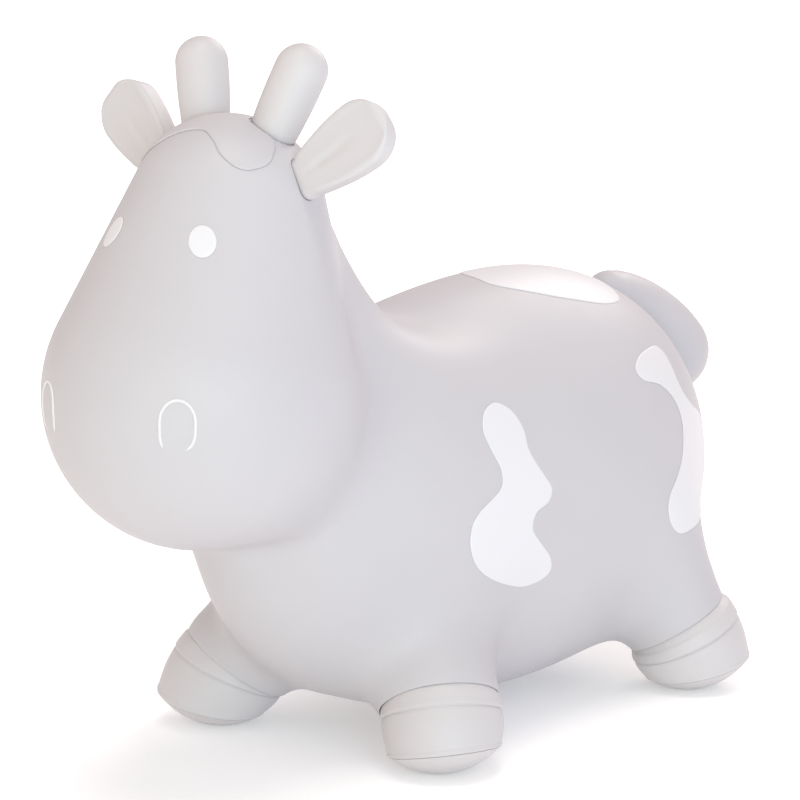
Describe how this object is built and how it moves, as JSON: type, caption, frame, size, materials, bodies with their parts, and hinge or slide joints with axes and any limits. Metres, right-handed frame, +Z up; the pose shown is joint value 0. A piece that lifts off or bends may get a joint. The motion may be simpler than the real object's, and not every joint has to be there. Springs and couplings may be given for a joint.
{
  "type": "ride-on bouncer",
  "caption": "Inflated soft vinyl cow that a toddler sits astride and bounces on, with horns to hold, flexing ears, tail and feet, and an air valve.",
  "frame": {"origin": "on the floor under the middle of the toy", "axes": "+Z up, -Y towards the cow's nose, +X to the cow's left"},
  "size_m": [0.285, 0.6159, 0.4493],
  "materials": {
    "coat_vinyl": "satin",
    "limb_vinyl": "satin",
    "white_vinyl": "satin",
    "valve_vinyl": "satin"
  },
  "bodies": {
    "body": {"body_skin": "coat_vinyl", "forelock": "coat_vinyl", "left_eye": "white_vinyl", "right_eye": "white_vinyl", "left_nostril": "white_vinyl", "right_nostril": "white_vinyl", "left_flank_patch": "white_vinyl", "right_flank_patch": "white_vinyl", "left_rump_patch": "white_vinyl", "right_rump_patch": "white_vinyl", "back_patch": "white_vinyl", "valve_seat": "valve_vinyl"},
    "left_horn": {"left_horn": "limb_vinyl"},
    "right_horn": {"right_horn": "limb_vinyl"},
    "left_ear": {"left_ear": "limb_vinyl"},
    "right_ear": {"right_ear": "limb_vinyl"},
    "tail": {"tail": "coat_vinyl"},
    "air_plug": {"air_plug": "valve_vinyl"},
    "left_front_foot": {"left_front_boot": "limb_vinyl", "left_front_sole": "limb_vinyl"},
    "left_hind_foot": {"left_hind_boot": "limb_vinyl", "left_hind_sole": "limb_vinyl"},
    "right_front_foot": {"right_front_boot": "limb_vinyl", "right_front_sole": "limb_vinyl"},
    "right_hind_foot": {"right_hind_boot": "limb_vinyl", "right_hind_sole": "limb_vinyl"}
  },
  "joints": [
    {"name": "left_horn_bend", "type": "hinge", "parent": "body", "child": "left_horn", "pos_m": [0.02733, -0.17399, 0.40098], "axis": [0, 1, 0], "range_deg": [-10, 12], "stiffness_Nm_per_rad": 0.5},
    {"name": "left_ear_fold", "type": "hinge", "parent": "body", "child": "left_ear", "pos_m": [0.05502, -0.17902, 0.37313], "axis": [0.625, -0.1014, -0.774], "range_deg": [-20, 20], "stiffness_Nm_per_rad": 1},
    {"name": "right_horn_bend", "type": "hinge", "parent": "body", "child": "right_horn", "pos_m": [-0.02733, -0.17399, 0.40098], "axis": [0, -1, 0], "range_deg": [-10, 12], "stiffness_Nm_per_rad": 0.5},
    {"name": "right_ear_fold", "type": "hinge", "parent": "body", "child": "right_ear", "pos_m": [-0.05502, -0.17902, 0.37313], "axis": [-0.625, -0.1014, -0.774], "range_deg": [-20, 20], "stiffness_Nm_per_rad": 1},
    {"name": "tail_lift", "type": "hinge", "parent": "body", "child": "tail", "pos_m": [0, 0.21407, 0.24888], "axis": [1, 0, 0], "range_deg": [0, 30], "stiffness_Nm_per_rad": 1},
    {"name": "air_plug_pull", "type": "slide", "parent": "body", "child": "air_plug", "axis": [0, 0.7585, -0.6517], "range_m": [0, 0.024]},
    {"name": "left_front_ankle_rock", "type": "hinge", "parent": "body", "child": "left_front_foot", "pos_m": [0.08971, -0.09221, 0.02388], "axis": [0.7071, 0.7071, 0], "range_deg": [-4, 4], "stiffness_Nm_per_rad": 10},
    {"name": "left_hind_ankle_rock", "type": "hinge", "parent": "body", "child": "left_hind_foot", "pos_m": [0.10621, 0.16421, 0.02518], "axis": [-0.7071, 0.7071, 0], "range_deg": [-4, 4], "stiffness_Nm_per_rad": 10},
    {"name": "right_front_ankle_rock", "type": "hinge", "parent": "body", "child": "right_front_foot", "pos_m": [-0.08971, -0.09221, 0.02388], "axis": [0.7071, -0.7071, 0], "range_deg": [-4, 4], "stiffness_Nm_per_rad": 10},
    {"name": "right_hind_ankle_rock", "type": "hinge", "parent": "body", "child": "right_hind_foot", "pos_m": [-0.10621, 0.16421, 0.02518], "axis": [-0.7071, -0.7071, 0], "range_deg": [-4, 4], "stiffness_Nm_per_rad": 10}
  ]
}
